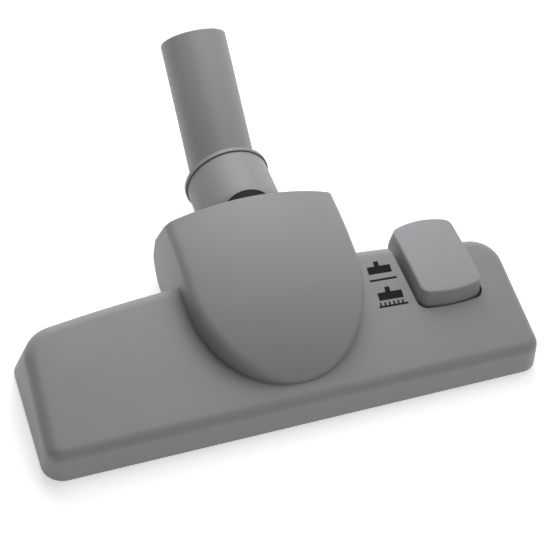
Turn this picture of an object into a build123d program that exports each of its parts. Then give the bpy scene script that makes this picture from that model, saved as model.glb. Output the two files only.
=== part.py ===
from build123d import *
import math
import os

# Vacuum floor brush head, in millimetres. X runs along the head, Y from its front edge to the tube,
# Z up from the floor. The finished pieces are moved so that the origin lies under the middle.

# Floor head shell
head_length = 272.4
head_depth = 86.8
head_rear_sag = 11.0
head_front_height = 16.65
head_slope = 12.25
front_draft = 10.0
end_draft = 8.0
rear_draft = 10.0
front_corner = 11.0
rear_corner = 9.5
rear_corner_growth = 0.28
top_edge_round = 7.0
shell_wall = 2.5
rim_height = 3.0

# Hump over the neck
hump_half_width = 48.0
hump_nose_y = 12.0
hump_shoulder_y = 66.0
hump_draft = 1.2
hump_crown_radius = 120.0
hump_crown_gain = 1.2
hump_shoulder_round = 6.0
hump_roof_y = 106.0
hump_roof_height = 63.0
hump_roof_drops = (
    (-3.0, 50.0),
    (0.5, 39.0),
    (2.0, 36.5),
    (5.0, 32.5),
    (10.0, 28.0),
    (18.0, 22.5),
    (28.0, 17.0),
    (38.0, 12.5),
    (48.0, 9.0),
    (58.0, 6.0),
    (68.0, 3.6),
    (78.0, 1.8),
    (94.0, 0.0),
    (116.0, -1.6),
)
hump_roof_sections = 15
cheek_rear_y = 118.7

# Neck, swivel and tube
pivot_y = 116.0
pivot_height = 38.1
ball_radius = 23.0
neck_wall = 2.2
neck_length = 24.3
swivel_gap = 0.4
ring_radius = 23.9
ring_thickness = 2.2
tube_bend = 30.8
tube_bend_offset = 4.1
tube_length = 77.7
tube_radius = 18.5
socket_radius = 16.0
socket_depth = 40.0
duct_radius = 15.0
window_width = 26.0
window_length = 11.5
window_offset = -1.5
window_rear = 3.3
window_recess = 0.4
pivot_pin_radius = 2.5
pin_boss_radius = 5.5
spigot_length = 12.5
ear_width = 4.6
ear_radius = 4.6
saddle_depth = 3.0
inlet_width = 29.0
inlet_height = 27.0
inlet_corner = 12.5
inlet_rise = 3.5

# Air duct, as width, depth and corner of each section
duct_foot_width = 46.0
duct_foot_depth = 11.0
duct_foot_corner = 5.0
duct_bend_section = (42.0, 14.0, 6.5)
duct_bend_place = (9.0, 27.5)
duct_bend_turn = 50.0
duct_level_section = (36.0, 22.0, 10.5)
duct_level_place = (27.0, 33.5)
duct_lift = 10.0
collar_gap = 2.5
seal_depth = 4.0

# Brush carrier and its travel
brush_inset = 18.2
brush_span = head_length - 2 * brush_inset
rail_width = 6.0
rail_height = 5.0
front_rail_y = 14.5
rear_rail_y = 52.5
bristle_tip = 0.7
bristle_length = 12.0
tuft_pitch = 5.0
tuft_size = 2.4

# Suction mouth and sole
mouth_inset = 20.2
mouth_length = head_length - 2 * mouth_inset
mouth_y = 33.5
mouth_width = 13.0
tunnel_height = 17.0
tunnel_end_height = 8.5
tunnel_roof_half = 28.0
sheet = 0.8
skid_depth = 1.0
sole_inset = 9.2
sole_half_length = head_length / 2 - sole_inset
sole_front_y = 4.0
sole_rear_y = 70.5
front_skid = (6.0, 10.0)
rear_skid = (64.0, 68.0)
lint_width = 6.0
lint_inset = 12.0
lint_length = mouth_length / 2 - lint_inset
floor_thickness = 2.0
rib_wall = 1.8
tray_height = 8.0
brush_slot_half = 2.5
guide_inset = 11.7
guide_x = head_length / 2 - guide_inset
guide_radius = 2.5
guide_top = 21.5

# Pedal
pedal_inset = 42.1
pedal_x = head_length / 2 - pedal_inset
pedal_half_width = 18.2
pedal_top_half_width = 17.6
pedal_front_y = 36.9
pedal_top_front_y = 39.3
pedal_rear_y = 90.4
pedal_top_rear_y = 89.4
pedal_top = 37.4
pedal_crown = 1.4
pedal_skirt_top = 28.0
pedal_skirt_low = 21.0
pedal_tail_low = 24.0
pedal_front_bow = 2.6
pedal_rear_bow = 4.0
pedal_corner = 5.2
pedal_edge_round = 1.4
pedal_wall = 1.8
pedal_axle_y = 61.0
pedal_axle_height = 24.0
pedal_axle_radius = 2.0
pedal_angle = 10.0
slot_half_width = 19.0
slot_splay = 3.9
slot_front_y = 36.1
slot_front_bow = 1.6
slot_corner = 5.4
slot_flare = 3.0
link_y = 20.3
link_height = 17.2
link_radius = 1.2
pedal_post_x = 14.0
post_width = 3.0
post_radius = 3.5
arm_half = 2.6
cheek_x = 10.0
cheek_width = 2.5
hub_radius = 5.0
arm_height = 3.2

# Rear wheels
wheel_inset = 12.0
wheel_x = hump_half_width - wheel_inset
wheel_y = 103.0
wheel_radius = 13.0
wheel_width = 8.0
tyre_depth = 2.5
wheel_axle_radius = 2.0
lug_width = 2.4
lug_radius = 6.0

# Screws
screw_inset = 14.5
screw_radius = 1.5
screw_head_radius = 3.0
screw_head_height = 2.2
screw_seat = 5.5
screw_tip = 17.0
screw_pillar_top = 7.7
sole_screw_radius = 1.1
sole_boss_top = 5.3

# Clearances
running = 0.05
press = 0.02
gap = 0.3


def yz_plane(x=0.0):
    """Sketch plane across the head: sketch x is Y, sketch y is Z."""
    return Plane(origin=(x, 0, 0), x_dir=(0, 1, 0), z_dir=(1, 0, 0))


def xz_plane(y=0.0):
    """Sketch plane along the head: sketch x is X, sketch y is Z."""
    return Plane(origin=(0, y, 0), x_dir=(1, 0, 0), z_dir=(0, -1, 0))


def box(x0, x1, y0, y1, z0, z1):
    """Box between two corners."""
    centre = ((x0 + x1) / 2, (y0 + y1) / 2, (z0 + z1) / 2)
    return Pos(*centre) * Box(x1 - x0, y1 - y0, z1 - z0)


def rod(radius, start, end):
    """Round bar between two points."""
    start = Vector(*start)
    end = Vector(*end)
    way = end - start
    return Plane(origin=start, z_dir=way) * Cylinder(
        radius, way.length, align=(Align.CENTER, Align.CENTER, Align.MIN)
    )


def pipe(outer, inner, start, end):
    """Round tube between two points."""
    return rod(outer, start, end) - rod(inner, start, end)


def mirrored(shape):
    """The same shape on the other side of the middle plane."""
    return shape.mirror(Plane.YZ)


def solid_of(shape):
    """The single solid that a boolean or loft leaves."""
    return shape.solids().sort_by(SortBy.VOLUME)[-1]


def group(*shapes):
    """Several separate solids kept as one node."""
    return Compound(children=[s for shape in shapes for s in shape.solids()])


def top_height(y, inset=0.0):
    """Height of the head's sloping top over the floor, lowered by an inset into the wall."""
    slope = math.radians(head_slope)
    return rim_height + head_front_height + y * math.tan(slope) - inset / math.cos(slope)


def rear_edge(x, height=0.0):
    """Y of the head's rear wall at a place along it."""
    sag = head_rear_sag * (2 * x / head_length) ** 2
    return head_depth - sag - (height - rim_height) * math.tan(math.radians(rear_draft))


def head_outline(inset, height):
    """Plan of the head at a height, drawn in by an inset."""
    rise = height - rim_height
    side = head_length / 2 - inset - rise * math.tan(math.radians(end_draft))
    front = inset + rise * math.tan(math.radians(front_draft))
    back_mid = rear_edge(0, height) - inset
    back_end = rear_edge(head_length / 2, height) - inset
    with BuildSketch(Plane.XY.offset(height)) as plan:
        with BuildLine():
            Polyline((-side, back_end), (-side, front), (side, front), (side, back_end))
            ThreePointArc((side, back_end), (0, back_mid), (-side, back_end))
        make_face()
        fillet(plan.vertices().group_by(Axis.Y)[0], max(front_corner - front, 1.0))
        fillet(plan.vertices().group_by(Axis.Y)[-1], rear_corner + rise * rear_corner_growth - inset)
    return plan.sketch


def head_form(inset, low):
    """Solid of the floor head: drafted plan, sloping top, rounded top edge."""
    high = low + 45.0
    body = loft([head_outline(inset, low), head_outline(inset, high)], ruled=True)
    slope = math.radians(head_slope)
    lid = Plane(
        origin=(0, 0, top_height(0, inset)),
        x_dir=(1, 0, 0),
        z_dir=(0, -math.sin(slope), math.cos(slope)),
    )
    body = solid_of(body - lid * Pos(0, 50, 40) * Box(400, 300, 80))
    top = body.faces().sort_by(Axis.Z)[-1]
    return body.fillet(top_edge_round - inset, top.edges())


def roof_line():
    """Middle line of the hump's roof in side view, from the nose to behind its rear edge."""
    return Spline(*[(0, hump_nose_y + y, hump_roof_height - drop) for y, drop in hump_roof_drops])


def roof_form(inset):
    """Solid under the hump's roof: crowned sections lofted along the roof line."""
    half = hump_half_width + 14.0
    line = roof_line()
    sections = []
    for i in range(hump_roof_sections + 1):
        share = i / hump_roof_sections
        tangent = line % share
        place = line @ share - Vector(0, -tangent.Z, tangent.Y) * inset
        crown = hump_crown_radius + hump_crown_gain * max(hump_roof_y - place.Y, 0.0)
        edge = place.Z - crown + math.sqrt(crown**2 - half**2)
        with BuildSketch(xz_plane(place.Y)) as section:
            with BuildLine():
                Polyline((-half, edge), (-half, -20), (half, -20), (half, edge))
                ThreePointArc((half, edge), (0, place.Z), (-half, edge))
            make_face()
        sections.append(section.sketch)
    return loft(sections)


def hump_outline(inset, height):
    """Plan of the hump: half an ellipse for the nose, straight cheeks behind it."""
    drawn_in = inset + (height - rim_height) * math.tan(math.radians(hump_draft))
    half = hump_half_width - drawn_in
    nose = hump_shoulder_y - hump_nose_y - drawn_in
    back = hump_roof_y + 19.0
    with BuildSketch(Plane.XY.offset(height)) as plan:
        with BuildLine():
            Polyline((half, hump_shoulder_y), (half, back), (-half, back), (-half, hump_shoulder_y))
            EllipticalCenterArc((0, hump_shoulder_y), half, nose, start_angle=180, arc_size=180)
        make_face()
    return plan.sketch


def hump_form(inset, low):
    """Solid of the hump with its rounded shoulder, running past its rear edge."""
    high = hump_roof_height + 15.0
    walls = loft([hump_outline(inset, low), hump_outline(inset, high)], ruled=True)
    body = solid_of(walls & roof_form(inset))
    shoulder = [
        edge
        for edge in body.edges()
        if edge.bounding_box().size.Y > 20 and edge.center().Z > pivot_height - 15
    ]
    return body.fillet(hump_shoulder_round - inset, shoulder)


def cheek_trim():
    """Side view of what is cut away behind the hump's rear edge."""
    with BuildSketch(yz_plane(-hump_half_width - 20)) as cut:
        with BuildLine():
            Polyline(
                (hump_roof_y, hump_roof_height + 20),
                (hump_roof_y, hump_roof_height - 10.5),
                (hump_roof_y + 5.5, pivot_height + 2.9),
                (cheek_rear_y - 0.5, pivot_height - 11.0),
                (cheek_rear_y, rim_height + 13.0),
            )
            Spline(
                (cheek_rear_y, rim_height + 13.0),
                (cheek_rear_y - 3.1, rim_height + 6.0),
                (cheek_rear_y - 14.7, rim_height),
                tangents=[(0, -1), (-1, -0.1)],
            )
            Polyline(
                (cheek_rear_y - 14.7, rim_height),
                (cheek_rear_y - 14.7, -20),
                (cheek_rear_y + 40, -20),
                (cheek_rear_y + 40, hump_roof_height + 20),
                (hump_roof_y, hump_roof_height + 20),
            )
        make_face()
    return extrude(cut.sketch, 2 * hump_half_width + 40)


def slot_sketch(grow):
    """Plan of the pedal's slot: round front corners, open at the head's rear, splayed towards the hump."""
    side_y = slot_front_y + slot_front_bow - grow
    bend = slot_flare - grow
    edges = []
    for side, splay in ((-1, slot_splay), (1, 0.0)):
        rear_x = pedal_x + side * (slot_half_width + splay)
        centre = (rear_x + side * slot_flare, rear_edge(rear_x, top_height(pedal_rear_y - 12)) - slot_flare)
        turn = math.sqrt(0.5) * bend
        edges.append(
            [
                (pedal_x + side * (slot_half_width + grow), side_y),
                (centre[0] - side * bend, centre[1]),
                (centre[0] - side * turn, centre[1] + turn),
                (centre[0], centre[1] + bend),
                (centre[0], head_depth + 10),
            ]
        )
    left, right = edges
    with BuildSketch(Plane.XY) as plan:
        with BuildLine():
            Polyline(left[3], left[4], right[4], right[3])
            for near, begin, middle, end, _ in edges:
                Line(near, begin)
                ThreePointArc(begin, middle, end)
            ThreePointArc(left[0], (pedal_x, slot_front_y - grow), right[0])
        make_face()
        fillet(plan.vertices().filter_by_position(Axis.Y, side_y - 0.01, side_y + 0.01), slot_corner + grow)
    return plan.sketch


def housing_screw_places():
    """Where the housing screws stand: two beside the neck and one near each end."""
    beside = hump_half_width + 6.0
    inner = (beside, rear_edge(beside, 10.0) - 9.0)
    outer = (head_length / 2 - screw_inset, rear_rail_y + rail_width / 2 + 6.5)
    return [(side * x, y) for side in (-1, 1) for x, y in (inner, outer)]


def make_upper_housing():
    """Moulded shell: floor head and hump in one wall, with the pedal's well and the screw bosses."""
    outer = head_form(0, rim_height) + (hump_form(0, rim_height) - cheek_trim())
    hollow = head_form(shell_wall, rim_height - 1) + hump_form(shell_wall, rim_height - 1)
    bosses = []
    for x, y in housing_screw_places():
        boss = rod(screw_radius + 2.0, (x, y, 8.0), (x, y, top_height(y)))
        bosses.append(boss & head_form(shell_wall / 2, rim_height))
    well_low = link_height + 1.1 + arm_height + gap
    well = extrude(Pos(0, 0, well_low) * slot_sketch(rib_wall), top_height(head_depth) - well_low)
    well = well & head_form(shell_wall / 2, rim_height)
    shell = outer - hollow
    for piece in bosses:
        shell = shell + piece
    shell = shell + well
    shell = shell - extrude(Pos(0, 0, well_low - 1) * slot_sketch(0), 40)
    for x, y in housing_screw_places():
        shell = shell - rod(screw_radius + running, (x, y, 7.0), (x, y, 20.0))
    return solid_of(shell)


def tunnel_form(grow, low):
    """Suction tunnel over the mouth, highest in the middle."""
    half = mouth_length / 2 + grow
    end_height = tunnel_end_height - rib_wall + grow
    roof = tunnel_height - rib_wall + grow
    with BuildSketch(xz_plane(mouth_y + mouth_width / 2 + grow)) as front:
        with BuildLine():
            Polyline(
                (-half, low),
                (-half, end_height),
                (-tunnel_roof_half, roof),
                (tunnel_roof_half, roof),
                (half, end_height),
                (half, low),
                close=True,
            )
        make_face()
    return extrude(front.sketch, mouth_width + 2 * grow)


def chassis_low():
    """Underside of the chassis floor, which lies on the sole plate."""
    return skid_depth + sheet


def chassis_top():
    """Upper side of the chassis floor."""
    return chassis_low() + floor_thickness


def make_chassis():
    """Lower moulding: floor tray, suction tunnel, neck ears, wheel lugs and pedal posts."""
    low = chassis_low()
    top = chassis_top()
    fit = shell_wall + gap
    tray = loft([head_outline(fit, low), head_outline(fit, low + tray_height)], ruled=True)
    tray = tray - loft(
        [head_outline(fit + rib_wall, top), head_outline(fit + rib_wall, low + tray_height + 1)], ruled=True
    )
    tail_half = hump_half_width - shell_wall - 2 * gap
    tail_front = rear_rail_y + rail_width / 2 + 1.5
    tail_top = top + floor_thickness
    body = tray + box(-tail_half, tail_half, tail_front, pivot_y, top, tail_top)
    body = body - box(-tail_half, tail_half, head_depth - 14, head_depth + 2, tail_top, 40)
    body = body + tunnel_form(rib_wall, low) - tunnel_form(0, low - 1)
    duct_half_width = duct_foot_width / 2 + 1.0
    duct_half_depth = duct_foot_depth / 2 + 0.5
    body = body - box(
        -duct_half_width,
        duct_half_width,
        mouth_y - duct_half_depth,
        mouth_y + duct_half_depth,
        tunnel_height - 5,
        tunnel_height + 5,
    )
    for y in (front_rail_y, rear_rail_y):
        body = body - brush_slot(y, 0, top + 1)
    body = body + neck_ears() + neck_saddle()
    for side in (-1, 1):
        body = wheel_arch(body, side)
    body = body + pedal_posts()
    for side in (-1, 1):
        x = side * guide_x
        body = body + rod(guide_radius, (x, mouth_y, top), (x, mouth_y, guide_top))
    for x, y in housing_screw_places():
        body = body + rod(screw_head_radius + 1.6, (x, y, low), (x, y, screw_pillar_top))
        body = body - rod(screw_head_radius + gap, (x, y, low - 1), (x, y, screw_seat))
        body = body - rod(screw_radius + 0.2, (x, y, low), (x, y, screw_pillar_top + 1))
    for x, y in sole_screw_places():
        body = body + rod(sole_screw_radius + 1.3, (x, y, low), (x, y, sole_boss_top))
        body = body - rod(sole_screw_radius + running, (x, y, 0), (x, y, sole_boss_top - 0.4))
    return solid_of(body)


def brush_slot(y, low, high):
    """Long opening that a row of bristles comes through."""
    half = brush_span / 2 + 0.5
    return box(-half, half, y - brush_slot_half, y + brush_slot_half, low, high)


def neck_ears():
    """Two uprights of the chassis that carry the neck's pins."""
    x0 = ball_radius + gap
    x1 = x0 + ear_width
    z = pivot_height
    ear = box(x0, x1, pivot_y - ear_radius, pivot_y + ear_radius, chassis_top(), z)
    ear = ear + rod(ear_radius, (x0, pivot_y, z), (x1, pivot_y, z))
    ear = ear - rod(pivot_pin_radius + press, (x0 - 1, pivot_y, z), (x1 + 1, pivot_y, z))
    return ear + mirrored(ear)


def neck_saddle():
    """Curved rest of the chassis that the neck's stub lies on."""
    low = chassis_top()
    high = pivot_height - ball_radius + 4
    rest = box(-ball_radius, ball_radius, pivot_y - 1, pivot_y + saddle_depth, low, high)
    return rest - rod(ball_radius + gap, (0, pivot_y - 5, pivot_height), (0, pivot_y + 9, pivot_height))


def wheel_arch(body, side):
    """The chassis with the opening, lugs and axle hole of one wheel."""
    x = side * wheel_x
    z = wheel_radius
    half = wheel_width / 2 + 1.0
    body = body - box(x - half, x + half, wheel_y - wheel_radius - 2, wheel_y + 20, 0, 30)
    for place in (x - half - lug_width / 2, x + half + lug_width / 2):
        x0 = place - lug_width / 2
        x1 = place + lug_width / 2
        lug = box(x0, x1, wheel_y - lug_radius, wheel_y + lug_radius, chassis_top(), z)
        body = body + lug + rod(lug_radius, (x0, wheel_y, z), (x1, wheel_y, z))
    return body - rod(wheel_axle_radius + press, (x - 9, wheel_y, z), (x + 9, wheel_y, z))


def pedal_posts():
    """Two posts of the chassis inside the pedal that carry its axle."""
    y = pedal_axle_y
    z = pedal_axle_height
    posts = []
    for side in (-1, 1):
        x0 = pedal_x + side * pedal_post_x - post_width / 2
        x1 = x0 + post_width
        post = box(x0, x1, y - post_radius, y + post_radius, chassis_top(), z)
        post = post + rod(post_radius, (x0, y, z), (x1, y, z))
        posts.append(post - rod(pedal_axle_radius + press, (x0 - 1, y, z), (x1 + 1, y, z)))
    return posts[0] + posts[1]


def sole_screw_places():
    """Where the sole plate is screwed to the chassis."""
    return [(side * (mouth_length / 2 + 6.0), y) for side in (-1, 1) for y in (mouth_y - 11, mouth_y + 11)]


def make_sole_plate():
    """Pressed steel sole: turned-up lips, two skids, the mouth and the two brush slots."""
    flat = skid_depth + sheet
    with BuildSketch(yz_plane(-sole_half_length)) as section:
        with BuildLine() as run:
            Polyline(
                (sole_front_y, flat),
                (front_skid[0] - 0.4, flat),
                (front_skid[0] + 0.6, sheet),
                (front_skid[1] - 0.6, sheet),
                (front_skid[1] + 0.4, flat),
                (rear_skid[0] - 0.4, flat),
                (rear_skid[0] + 0.6, sheet),
                (rear_skid[1] - 0.6, sheet),
                (rear_skid[1] + 0.4, flat),
                (sole_rear_y, flat),
                (sole_rear_y, flat - sheet),
                (rear_skid[1] + 0.8, flat - sheet),
                (rear_skid[1] - 0.2, 0),
                (rear_skid[0] + 0.2, 0),
                (rear_skid[0] - 0.8, flat - sheet),
                (front_skid[1] + 0.8, flat - sheet),
                (front_skid[1] - 0.2, 0),
                (front_skid[0] + 0.2, 0),
                (front_skid[0] - 0.8, flat - sheet),
                (sole_front_y, flat - sheet),
                close=True,
            )
        make_face()
    plate = extrude(section.sketch, 2 * sole_half_length)
    with BuildSketch(Plane.XY.offset(-1)) as plan:
        with Locations((0, (sole_front_y + sole_rear_y) / 2)):
            RectangleRounded(2 * sole_half_length, sole_rear_y - sole_front_y, 8)
    plate = plate & extrude(plan.sketch, 10)
    half = mouth_length / 2
    plate = plate - box(-half, half, mouth_y - mouth_width / 2, mouth_y + mouth_width / 2, -1, 5)
    for y in (front_rail_y, rear_rail_y):
        plate = plate - brush_slot(y, -1, 5)
    for x, y in housing_screw_places():
        plate = plate - rod(screw_head_radius + 0.6, (x, y, -1), (x, y, 5))
    for x, y in sole_screw_places():
        plate = plate - rod(sole_screw_radius + 0.1, (x, y, -1), (x, y, 5))
    return solid_of(plate)


def make_lint_strip(y):
    """Velvet strips on the sole beside the mouth, in two lengths."""
    strips = []
    for side in (-1, 1):
        x = side * (lint_length / 2 + 4)
        z = skid_depth
        strips.append(
            box(x - lint_length / 2, x + lint_length / 2, y - lint_width / 2, y + lint_width / 2, z - 0.8, z)
        )
    return group(*strips)


def rail_low():
    """Underside of the brush rails with the brush drawn in."""
    return bristle_tip + bristle_length


def make_brush_frame():
    """Carrier of both bristle rows: two rails, two end bars with guide sleeves, the pedal's fork."""
    low = rail_low()
    high = low + rail_height
    end = guide_x + 4.0
    half = rail_width / 2
    rails = [box(-end, end, y - half, y + half, low, high) for y in (front_rail_y, rear_rail_y)]
    frame = rails[0] + rails[1]
    reach = link_radius + 0.12
    lug_rear = link_y + link_shift() + reach + 0.8
    for side in (-1, 1):
        x = side * guide_x
        frame = frame + box(x - 4, x + 4, front_rail_y, rear_rail_y, low, high)
        frame = frame - rod(guide_radius + 0.2, (x, mouth_y, low - 1), (x, mouth_y, high + 1))
        fork = pedal_x + side * (arm_half + 1.6)
        frame = frame + box(fork - 1.2, fork + 1.2, front_rail_y, lug_rear, low, link_height + reach + 1.1)
    x0 = pedal_x - 6
    x1 = pedal_x + 6
    slot = box(x0, x1, link_y, link_y + link_shift(), link_height - reach, link_height + reach)
    for y in (link_y, link_y + link_shift()):
        slot = slot + rod(reach, (x0, y, link_height), (x1, y, link_height))
    return solid_of(frame - slot)


def link_shift():
    """How far the link pin moves rearwards in its slots over the pedal's travel."""
    turn = math.radians(pedal_angle)
    reach = link_y - pedal_axle_y
    drop = link_height - pedal_axle_height
    return reach * math.cos(turn) - drop * math.sin(turn) - reach


def brush_travel():
    """How far the link pin and the brush go down over the pedal's travel."""
    turn = math.radians(pedal_angle)
    reach = link_y - pedal_axle_y
    drop = link_height - pedal_axle_height
    return drop - (reach * math.sin(turn) + drop * math.cos(turn))


def make_bristle_strip(y):
    """Back strip under a rail with its row of tufts."""
    low = rail_low()
    half = brush_span / 2
    strip = box(-half, half, y - 1.8, y + 1.8, low - 1.5, low)
    count = int((brush_span - 2 * tuft_size) / tuft_pitch)
    for i in range(count + 1):
        x = (i - count / 2) * tuft_pitch
        tuft = box(
            x - tuft_size / 2, x + tuft_size / 2, y - tuft_size / 2, y + tuft_size / 2, bristle_tip, low - 1.5
        )
        strip = strip + tuft
    return solid_of(strip)


def pedal_outline(height, inset):
    """Plan of the pedal: bowed front and rear, upright skirt, walls drawn in above it."""
    share = max(height - pedal_skirt_top, 0.0) / (pedal_top - pedal_skirt_top)
    half = pedal_half_width + share * (pedal_top_half_width - pedal_half_width) - inset
    front = pedal_front_y + share * (pedal_top_front_y - pedal_front_y) + inset
    rear = pedal_rear_y + share * (pedal_top_rear_y - pedal_rear_y) - inset
    left_front = (pedal_x - half, front + pedal_front_bow)
    right_front = (pedal_x + half, front + pedal_front_bow)
    left_rear = (pedal_x - half, rear - pedal_rear_bow)
    right_rear = (pedal_x + half, rear - pedal_rear_bow)
    with BuildSketch(Plane.XY.offset(height)) as plan:
        with BuildLine():
            ThreePointArc(left_front, (pedal_x, front), right_front)
            Line(right_front, right_rear)
            ThreePointArc(right_rear, (pedal_x, rear), left_rear)
            Line(left_rear, left_front)
        make_face()
        fillet(plan.vertices(), pedal_corner - inset)
    return plan.sketch


def pedal_form(inset, low):
    """Solid of the pedal: skirt, drawn-in walls and crowned top, open shape from a lower level."""
    high = pedal_top + 3.0
    body = loft([pedal_outline(low, inset), pedal_outline(pedal_skirt_top, inset)], ruled=True)
    body = body + loft([pedal_outline(pedal_skirt_top, inset), pedal_outline(high, inset)], ruled=True)
    front = pedal_front_y - 6
    rear = pedal_rear_y + 6
    end_height = pedal_top - pedal_crown - inset
    rear_low = pedal_tail_low + low - pedal_skirt_low
    with BuildSketch(yz_plane(pedal_x - 30)) as side:
        with BuildLine():
            ThreePointArc(
                (front, end_height), ((front + rear) / 2, pedal_top + 0.2 - inset), (rear, end_height)
            )
            Polyline(
                (rear, end_height),
                (rear, rear_low),
                (pedal_axle_y + 12, rear_low),
                (pedal_axle_y + 4, low),
                (front, low),
                (front, end_height),
            )
        make_face()
    body = solid_of(body & extrude(side.sketch, 60))
    if inset >= pedal_edge_round:
        return body
    top = body.faces().filter_by(lambda f: f.normal_at().Z > 0.7).sort_by(SortBy.AREA)[-1]
    return body.fillet(pedal_edge_round - inset, top.edges())


def make_pedal():
    """Rocker pedal: hollow cap, two hinge cheeks, the lifting arm and the detent cam."""
    cap = pedal_form(0, pedal_skirt_low) - pedal_form(pedal_wall, pedal_skirt_low - 1)
    y = pedal_axle_y
    z = pedal_axle_height
    ceiling = pedal_top - pedal_wall / 2
    for side in (-1, 1):
        x0 = pedal_x + side * cheek_x - cheek_width / 2
        x1 = x0 + cheek_width
        cheek = box(x0, x1, y - hub_radius, y + hub_radius, z, ceiling)
        cap = cap + cheek + rod(hub_radius, (x0, y, z), (x1, y, z))
    x0 = pedal_x - arm_half
    x1 = pedal_x + arm_half
    arm_low = link_height + 1.1
    arm_end = link_radius + 0.9
    arm = box(x0, x1, link_y + 4.5, y, arm_low, arm_low + arm_height)
    arm = arm + rod(arm_end, (x0, link_y, link_height), (x1, link_y, link_height))
    arm = arm + box(x0, x1, link_y, link_y + 7.0, link_height + 0.7, link_height + arm_end)
    arm = arm + rod(hub_radius, (x0, y, z), (x1, y, z))
    arm = arm + box(x0, x1, y - 10, y + hub_radius, arm_low, ceiling)
    cam = rod(cam_radius(), (pedal_x - 1.5, y, z), (pedal_x + 1.5, y, z))
    cam = cam & box(pedal_x - 2, pedal_x + 2, y - 5.5, y + 3, 0, z)
    cap = cap + arm + (cam - cam_notches())
    cap = cap - rod(pedal_axle_radius + running, (pedal_x - 30, y, z), (pedal_x + 30, y, z))
    pin_hole = link_radius + press
    cap = cap - rod(pin_hole, (pedal_x - 9, link_y, link_height), (pedal_x + 9, link_y, link_height))
    return solid_of(cap)


def cam_radius():
    """Outer radius of the detent cam under the pedal."""
    return pedal_axle_radius + 9.4


def cam_notches():
    """Hollow in the cam's edge where the spring's nose rides, with a notch for each end of the travel."""
    x0 = pedal_x - 3
    x1 = pedal_x + 3
    y = pedal_axle_y
    z = pedal_axle_height
    ridge = cam_radius() - 0.7
    cuts = rod(cam_radius() + 1, (x0, y, z), (x1, y, z)) - rod(ridge, (x0, y, z), (x1, y, z))
    cuts = cuts & box(x0, x1, y - 2.9, y + 1.0, 0, z)
    for angle in (0.0, -pedal_angle):
        turn = math.radians(angle)
        place = (y + math.sin(turn) * (ridge + 0.2), z - math.cos(turn) * (ridge + 0.2))
        cuts = cuts + rod(0.75, (x0, *place), (x1, *place))
    return cuts


def make_detent_spring():
    """Bent leaf spring on the chassis floor whose nose holds the pedal at either end."""
    floor = chassis_top()
    nose = pedal_axle_height - cam_radius() + 0.55
    y = pedal_axle_y
    thick = 0.4
    with BuildSketch(yz_plane(pedal_x - 3)) as side:
        with BuildLine() as path:
            FilletPolyline(
                (y - 1.5, floor + thick / 2),
                (y + 6.5, floor + thick / 2),
                (y + 7.5, floor + 4.5),
                (y, nose - thick / 2),
                (y - 3.2, nose - 2.0),
                radius=0.6,
            )
        trace(path.line, line_width=thick)
    return solid_of(extrude(side.sketch, 6))


def make_air_duct():
    """Lofted air channel from the tunnel's roof to the collar in front of the neck's ball."""
    return solid_of(duct_form(rib_wall) - duct_form(0))


def duct_aim():
    """Direction in which the duct blows into the ball."""
    lift = math.radians(duct_lift)
    return Vector(0, math.cos(lift), math.sin(lift))


def duct_section(plane, size, grow):
    """One rounded section of the air channel, grown by a wall."""
    width, depth, corner = size
    with BuildSketch(plane) as section:
        RectangleRounded(width + 2 * grow, depth + 2 * grow, corner + grow)
    return section.sketch


def duct_form(grow):
    """Solid of the air channel, grown by a wall."""
    reach = 0.01 if grow == 0 else 0.0
    aim = duct_aim()
    collar = Vector(0, pivot_y, pivot_height) - aim * (ball_radius - collar_gap - reach)
    turn = math.radians(duct_bend_turn)
    bend_y, bend_z = duct_bend_place
    level_y, level_z = duct_level_place
    foot = Plane(origin=(0, mouth_y, tunnel_height - reach), x_dir=(1, 0, 0), z_dir=(0, 0, 1))
    bend = Plane(
        origin=(0, mouth_y + bend_y, bend_z), x_dir=(1, 0, 0), z_dir=(0, math.sin(turn), math.cos(turn))
    )
    level = Plane(origin=(0, mouth_y + level_y, level_z), x_dir=(1, 0, 0), z_dir=(0, 1, 0))
    mouth = Plane(origin=collar, x_dir=(1, 0, 0), z_dir=aim)
    round_section = (2 * duct_radius, 2 * duct_radius, duct_radius - 0.2)
    sections = [
        duct_section(foot, (duct_foot_width, duct_foot_depth, duct_foot_corner), grow),
        duct_section(bend, duct_bend_section, grow),
        duct_section(level, duct_level_section, grow),
        duct_section(mouth, round_section, grow),
    ]
    return loft(sections, ruled=True)


def make_neck_seal():
    """Ring on the duct's collar that follows the neck's ball."""
    aim = duct_aim()
    pivot = Vector(0, pivot_y, pivot_height)
    back = pivot - aim * (ball_radius - collar_gap)
    front = pivot - aim * (ball_radius - collar_gap - seal_depth)
    ring = pipe(duct_radius + rib_wall, duct_radius + 0.1, tuple(back), tuple(front))
    return solid_of(ring - Pos(*pivot) * Sphere(ball_radius + gap))


def neck_end_y():
    """Rear end of the neck's stub, just short of the swivel ring."""
    return pivot_y + neck_length


def bore_radius():
    """Bore of the neck's stub that the swivel's spigot turns in."""
    return ball_radius - neck_wall - 0.2


def window_prism(shrink):
    """Upright prism through the neck's oval window."""
    with BuildSketch(Plane.XY.offset(pivot_height)) as oval:
        with Locations((window_offset, pivot_y - window_rear - window_length / 2)):
            Ellipse(window_width / 2 - shrink, window_length / 2 - shrink)
    return extrude(oval.sketch, ball_radius + 7)


def make_neck_window():
    """Curved oval insert in the neck's window, a little below its surface."""
    pivot = Pos(0, pivot_y, pivot_height)
    plate = pivot * Sphere(ball_radius - window_recess) - pivot * Sphere(ball_radius - neck_wall)
    return solid_of(plate & window_prism(press))


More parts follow.
